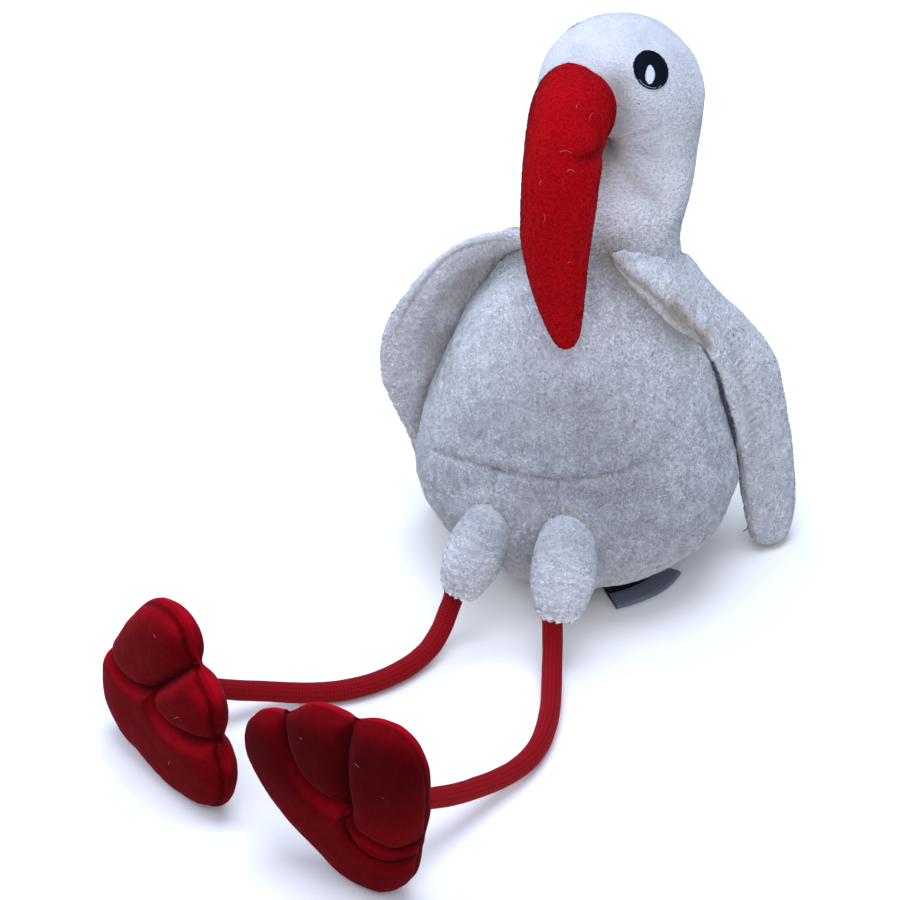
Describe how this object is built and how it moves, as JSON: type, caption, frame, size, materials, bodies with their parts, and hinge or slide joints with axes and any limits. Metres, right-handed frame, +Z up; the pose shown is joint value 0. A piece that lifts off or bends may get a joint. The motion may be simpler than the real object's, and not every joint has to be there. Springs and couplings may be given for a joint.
{
  "type": "plush toy white stork",
  "caption": "Seated plush toy stork: pear-shaped fleece body, long felt bill, floppy wings, and cord legs that end in stuffed webbed feet.",
  "frame": {"origin": "middle of the flat seat under the body, on the floor", "axes": "+Z up, the toy faces -Y, and its left wing is on +X"},
  "size_m": [0.2067, 0.3439, 0.2314],
  "materials": {
    "fleece_white": "short-pile terry fleece",
    "felt_red": "brushed plush felt",
    "cord_red": "knitted tube over a soft core",
    "velour_red": "short-pile velour",
    "eye_thread": "satin-stitch embroidery",
    "label_ribbon": "woven satin ribbon"
  },
  "bodies": {
    "root": {"trunk": "fleece_white", "neck": "fleece_white", "head": "fleece_white", "bill": "felt_red", "eye_left": "eye_thread", "eye_right": "eye_thread", "wing_left": "fleece_white", "wing_right": "fleece_white", "tail": "fleece_white", "thigh_left": "fleece_white", "thigh_right": "fleece_white", "leg_left": "cord_red", "leg_right": "cord_red", "foot_left": "velour_red", "foot_right": "velour_red", "care_label": "label_ribbon"}
  },
  "joints": []
}
